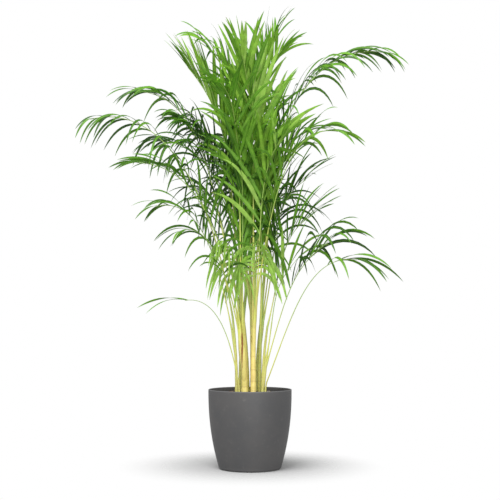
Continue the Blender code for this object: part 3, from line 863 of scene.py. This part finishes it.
# %% Lengths, angles and sag of the leaflets
SPREAD_LEFT = 0.55  # share of the first pair's spread that the last pair keeps
RAISE = (40, -8)  # degrees above the stalk's side, and more for each unit of hang
FIRST_LEAFLET = 0.30
LAST_LEAFLET = 0.86
BLADE_SLENDERNESS = 0.043  # a blade's width as a share of its frond's longest blade
OLD_FULLNESS, YOUNG_FULLNESS = 0.86, 1.35  # a young, light frond has broader blades
BLADE_THICKNESS = 0.0005
BLADE_FOLD = 0.20  # how far the edges hang below the ridge, as a share of the half-width
BLADE_STEPS = 12
BLADE_CORNERS = 4
BLADE_OPENING, BLADE_CLOSING = 0.5, 0.8  # powers with which a blade opens and closes
BLADE_WIDEST = 0.385  # share of the length at which it is widest
BLADE_NECK = 0.28  # half-width at the stalk, as a share of the widest
STAGGER = 0.16  # how far a pair's blades stand before and behind its place, in pairs
PLACE_NOISE = 0.12  # in pairs
LAST_PLACE = 0.995
SPREAD_NOISE, RAISE_NOISE = 6, 11  # degrees
LENGTH_NOISE = (0.88, 1.10)
SAG_NOISE = (0.6, 1.4)
SAG_START, SAG_POWER = 0.08, 1.3
BURIED = 0.6  # how far out in the stalk a blade begins, as a share of the stalk's radius


def outline(share):
    """A power of the distance from the stalk times a power of the distance from the tip."""
    return share ** BLADE_OPENING * (1 - share) ** BLADE_CLOSING


def blade_width(share):
    """Half-width along a blade, one at its widest: it opens as a root of the distance from the stalk,
    closes nearly straight to the tip, and keeps a narrow neck at the stalk."""
    return np.maximum(outline(share) / outline(BLADE_WIDEST), BLADE_NECK * (1 - share) ** 3)


def blade_curves(stalk, chance):
    """Centre lines of a frond's blades. A blade starts off at its spread and raise from the stalk, and
    its direction turns down by a sag that grows as a power of the distance along it."""
    frond = stalk.frond
    pairs = round((stalk.length - stalk.bare) / frond.spacing)
    pair, hand = np.divmod(np.arange(2 * pairs), 2)
    hand = 1 - 2 * hand
    count = len(pair)
    share = (pair + 0.5 + STAGGER * hand + chance.uniform(-PLACE_NOISE, PLACE_NOISE, count)) / pairs
    share = np.clip(share, 0.0, LAST_PLACE)
    distances = stalk.bare + share * (stalk.length - stalk.bare)
    along, side, upper = stalk.frames(distances)
    closing = 1 + (SPREAD_LEFT - 1) * share
    spread = np.radians(frond.spread * closing + chance.normal(0, SPREAD_NOISE, count))
    lift = np.radians(RAISE[0] + RAISE[1] * frond.hang + chance.normal(0, RAISE_NOISE, count))
    size = np.sin(pi * (FIRST_LEAFLET + (LAST_LEAFLET - FIRST_LEAFLET) * share))
    length = frond.leaf * size * chance.uniform(*LENGTH_NOISE, count)
    outward = hand[:, None] * side * np.cos(lift)[:, None] + upper * np.sin(lift)[:, None]
    direction = along * np.cos(spread)[:, None] + outward * np.sin(spread)[:, None]
    base = stalk.centres(distances) + outward * stalk.radii(distances)[:, None] * BURIED
    t = np.linspace(0, 1, BLADE_STEPS)
    sag = frond.hang * chance.uniform(*SAG_NOISE, count)
    turning = direction[:, None, :] - UP * (sag[:, None] * (t + SAG_START) ** SAG_POWER)[:, :, None]
    steps = unit(turning) * (length / (BLADE_STEPS - 1))[:, None, None]
    middle = (steps[:, 1:] + steps[:, :-1]) / 2
    reach = np.concatenate([np.zeros((count, 1, 3)), np.cumsum(middle, axis=1)], axis=1)
    return base[:, None, :] + reach, along, size, hand


full_width = blade_width(np.linspace(0, 1, 101))
print("a blade has", BLADE_STEPS, "rings and is widest at", full_width.argmax() / 100, "of its length")

# %% Fold and twist the leaflets
TWIST_NOISE = 0.35  # radians at the tip
TWIST_POWER = 1.2
SHORT_WIDTH, LENGTH_WIDTH = 0.55, 0.45  # shares of a blade's width: fixed, and growing with its length
WIDTH_NOISE = (0.85, 1.15)
TIP_THICKNESS, BASE_THICKNESS = 0.35, 0.65  # shares of the thickness: all along, and more at the base


def blades(stalk, chance):
    """Closed ribbons on the centre lines: each ring has a left edge, a ridge, a right edge and an
    underside. The edges hang below the ridge by the fold, and the blade twists slowly along itself."""
    centres, along, size, hand = blade_curves(stalk, chance)
    count = len(centres)
    tangent = unit(np.gradient(centres, axis=1))
    flat = along[:, None, :] - tangent * (along[:, None, :] * tangent).sum(axis=-1, keepdims=True)
    across = unit(flat)
    face = np.cross(tangent, across) * hand[:, None, None]
    t = np.linspace(0, 1, BLADE_STEPS)
    twist = chance.normal(0, TWIST_NOISE, count)[:, None] * t ** TWIST_POWER
    cos_twist, sin_twist = np.cos(twist)[:, :, None], np.sin(twist)[:, :, None]
    across, face = across * cos_twist + face * sin_twist, face * cos_twist - across * sin_twist
    fullness = np.interp(stalk.frond.tone, (0, 1), (OLD_FULLNESS, YOUNG_FULLNESS))
    widest = fullness * BLADE_SLENDERNESS * stalk.frond.leaf / 2 * (SHORT_WIDTH + LENGTH_WIDTH * size)
    half = blade_width(t)[None, :] * widest[:, None]
    half = half * chance.uniform(*WIDTH_NOISE, count)[:, None]
    thick = BLADE_THICKNESS / 2 * (TIP_THICKNESS + BASE_THICKNESS * (1 - t))[None, :, None]
    left = centres + (across - face * BLADE_FOLD) * half[:, :, None]
    right = centres - (across + face * BLADE_FOLD) * half[:, :, None]
    ridge, underside = centres + face * thick, centres - face * thick
    on_left = np.stack([left, ridge, right, underside], axis=2)
    on_right = np.stack([right, ridge, left, underside], axis=2)
    return np.where(hand[:, None, None, None] > 0, on_left, on_right)


print("a blade is", BLADE_THICKNESS * 1000, "mm thick at the stalk")

# %% Grow the leaflets
ACROSS = np.array([0.0, 0.5, 1.0, 0.5])  # where a ring's corners stand across the blade
FIRST_SEED = 100


def blade_uv(count):
    """Across the blade from edge to edge, and along it from stalk to tip."""
    t = np.linspace(0, 1, BLADE_STEPS)
    rings = np.stack(np.broadcast_arrays(ACROSS[None, :], t[:, None]), axis=-1).reshape(-1, 2)
    one = np.concatenate([rings, [[0.5, 0.0], [0.5, 1.0]]])
    return np.tile(one, (count, 1))


leaf_pieces = []
leaflet_total = 0
for number, stalk in enumerate(stalks):
    chance = np.random.default_rng(FIRST_SEED + number)
    rings = blades(stalk, chance)
    count = len(rings)
    tint = np.repeat(chance.uniform(0, 1, count)[:, None], BLADE_STEPS, axis=1)
    # Each frond's green, partly its age and partly painted light and shade, is kept on every point.
    tone = np.full((count, BLADE_STEPS), stalk.frond.tone)
    leaf_pieces.append(add_piece(
        stalk.frond.name + "_leaflets", *tubes(rings), "frond_leaf", [stalk.frond.name],
        marks={"tint": on_tubes(tint, BLADE_CORNERS), "tone": on_tubes(tone, BLADE_CORNERS)},
        uv=blade_uv(count),
    ))
    leaflet_total += count
print("leaflets:", leaflet_total)

# %% [markdown]
# ## Leaf green
# A leaf gets most of its life from light that comes through it, so the finish mixes a glossy surface
# with a translucent one. The green runs from dark and bluish on old fronds to light and yellow on young
# ones. Each frond's green is partly its age and partly painted light and shade: darker for fronds in the
# shaded middle, and palest, as painted light, on the low fronds at the front. Fine veins run along the
# blade, the ridge is paler, and a few tips have dried.

# %% Finish the leaflets
LEAF_OLD = rgb(28, 82, 30)
LEAF_MIDDLE = rgb(108, 170, 44)
LEAF_YOUNG = rgb(158, 210, 70)
# Palest green: painted light, given to the low fronds at the front.
LEAF_PAINTED_LIGHT = rgb(192, 230, 116)
LEAF_RIDGE = rgb(176, 206, 92)
LEAF_DRY = rgb(176, 142, 84)
LIGHT_THROUGH = 0.44  # share of the translucent surface
TINT_SHARE = 0.60  # how far a leaflet's own tint shifts its age
SHADE_SHARE = 0.35
VEIN_SHARE = 0.25
RIDGE_SHARE = 0.5
DRY_FROM = 0.90  # share of the length at which a dried tip starts

leaf, tree, shader, output = finish_material("palm_leaf")
place = tree.place()
uv = tree.add("UVMap", {"uv_map": "UVMap"}).outputs["UV"]
parts = tree.add("SeparateXYZ", Vector=uv).outputs
tint = tree.mark("tint")
shift = tree.times(tree.math("SUBTRACT", tint, 0.5), TINT_SHARE)
# A frond's age and painted light and shade, shifted by each leaflet's own tint, picks the green.
youth_and_painted_light = tree.math("ADD", tree.mark("tone"), shift)
green = tree.blend(tree.span(youth_and_painted_light, 0.0, 0.5), LEAF_OLD, LEAF_MIDDLE)
green = tree.blend(tree.span(youth_and_painted_light, 0.5, 1.0), green, LEAF_YOUNG)
green = tree.blend(tree.span(youth_and_painted_light, 1.0, 1.2), green, LEAF_PAINTED_LIGHT)
darker = tree.blend(SHADE_SHARE, green, LEAF_OLD)
clouds = use(tree, mottle, Place=place, Color=green, Other=darker, Scale=38.0)
veins = tree.noise(tree.stretched(uv, (34.0, 1.2, 1.0)), 1.0, 2.0, 0.6)
vein_mask = tree.times(tree.span(veins, 0.45, 0.7), VEIN_SHARE)
veined = tree.blend(vein_mask, clouds["Color"], LEAF_YOUNG)
from_ridge = tree.math("ABSOLUTE", tree.math("SUBTRACT", parts["X"], 0.5))
ridge = tree.math("SUBTRACT", 1.0, tree.span(from_ridge, 0.02, 0.07))
ridged = tree.blend(tree.times(ridge, RIDGE_SHARE), veined, LEAF_RIDGE)
dry_start = tree.math("ADD", DRY_FROM, tree.times(tree.noise(place, 60.0), 0.12))
past = tree.times(tree.math("SUBTRACT", parts["Y"], dry_start), 30.0, clamp=True)
dry = tree.times(past, tree.span(tint, 0.62, 0.70))
leaf_color = tree.blend(dry, ridged, LEAF_DRY)
grains = use(tree, grain, Place=place, Scale=420.0, Roughness=0.42, Range=0.25)
normal = tree.bump(veins, 0.0004, 0.6)
tree.feed(shader.inputs["Base Color"], leaf_color)
tree.feed(shader.inputs["Roughness"], grains["Roughness"])
tree.feed(shader.inputs["Normal"], normal)
shader.inputs["Specular IOR Level"].default_value = 0.25
through = tree.add("BsdfTranslucent", Color=leaf_color, Normal=normal)
mixed = tree.add("MixShader")
mixed.inputs[0].default_value = LIGHT_THROUGH
tree.feed(mixed.inputs[1], shader.outputs[0])
tree.feed(mixed.inputs[2], through.outputs[0])
tree.feed(output.inputs["Surface"], mixed.outputs[0])
for piece in leaf_pieces:
    piece.data.materials.append(leaf)
print("material:", leaf.name)

# %% [markdown]
# ## Floor and light
# The palm stands on a floor with no visible edge: the floor fades out before it ends, into a white surround.
# Where it shows, around the pot, the floor is grey: a painted shadow, centred a little behind the pot and
# fading out with the floor. The surround lights the palm evenly from all sides. A large soft light from the
# upper left front adds shape, a weaker one beside the camera lifts the front, and the lights cast a small
# shadow under the pot as well.

# %% Lay the floor
FLOOR_RADIUS = 3.0
# The fade's centre, a little behind the pot, is where the painted shadow is full.
FADE_CENTRE = (0.0, 0.06, 0.0)
FADE_START = 0.08  # distances from the fade's centre
FADE_END = 0.42
FLOOR_SIDES = 96
# The floor's grey is a painted shadow around the pot; it fades out into the white surround.
PAINTED_SHADOW_GREY = 0.40

turn = np.arange(FLOOR_SIDES) / FLOOR_SIDES * tau
rim = np.stack([FLOOR_RADIUS * np.cos(turn), FLOOR_RADIUS * np.sin(turn), np.zeros(FLOOR_SIDES)], axis=-1)
floor_mesh = bpy.data.meshes.new("floor")
floor_mesh.from_pydata(rim.tolist(), [], [list(range(FLOOR_SIDES))])
floor = bpy.data.objects.new("floor", floor_mesh)
bpy.context.scene.collection.objects.link(floor)

paper, tree, shader, _ = finish_material("white_floor")
away = tree.add("VectorMath", {"operation": "LENGTH"})
tree.feed(away.inputs[0], tree.moved(tree.place(), FADE_CENTRE))
tree.feed(shader.inputs["Alpha"], tree.span(away.outputs["Value"], FADE_START, FADE_END, 1.0, 0.0))
shader.inputs["Base Color"].default_value = (PAINTED_SHADOW_GREY, PAINTED_SHADOW_GREY, PAINTED_SHADOW_GREY, 1.0)
shader.inputs["Roughness"].default_value = 0.9
shader.inputs["Specular IOR Level"].default_value = 0.1
floor_mesh.materials.append(paper)
print("floor fades from", FADE_START, "to", FADE_END, "m")

# %% Light the scene
SURROUND = 0.60  # how much light the white surround gives, although it's seen as white


def area_light(name, place, aim, size, power):
    """A square soft light at one place, tilted from straight down and turned to face another."""
    data = bpy.data.lights.new(name, "AREA")
    data.size = size
    data.energy = power
    light = bpy.data.objects.new(name, data)
    light.location = place
    towards = np.array(aim) - np.array(place)
    flat = np.hypot(towards[0], towards[1])
    light.rotation_euler = (atan(flat / -towards[2]), 0.0, np.arctan2(towards[1], towards[0]) - pi / 2)
    bpy.context.scene.collection.objects.link(light)


area_light("key", place=(-0.7, -1.3, 3.1), aim=(0.0, 0.0, 0.5), size=1.7, power=110.0)
area_light("front", place=(0.6, -3.2, 1.3), aim=(0.0, 0.0, 0.55), size=1.6, power=60.0)
world = bpy.data.worlds.new("surround")
world.use_nodes = True
tree = Tree(world.node_tree)
seen = tree.add("LightPath").outputs["Is Camera Ray"]
strength = tree.math("ADD", SURROUND, tree.times(seen, 1.0 - SURROUND))
backing = world.node_tree.nodes["Background"]
backing.inputs["Color"].default_value = (1.0, 1.0, 1.0, 1.0)
tree.feed(backing.inputs["Strength"], strength)
bpy.context.scene.world = world
bpy.context.scene.view_settings.view_transform = "Standard"
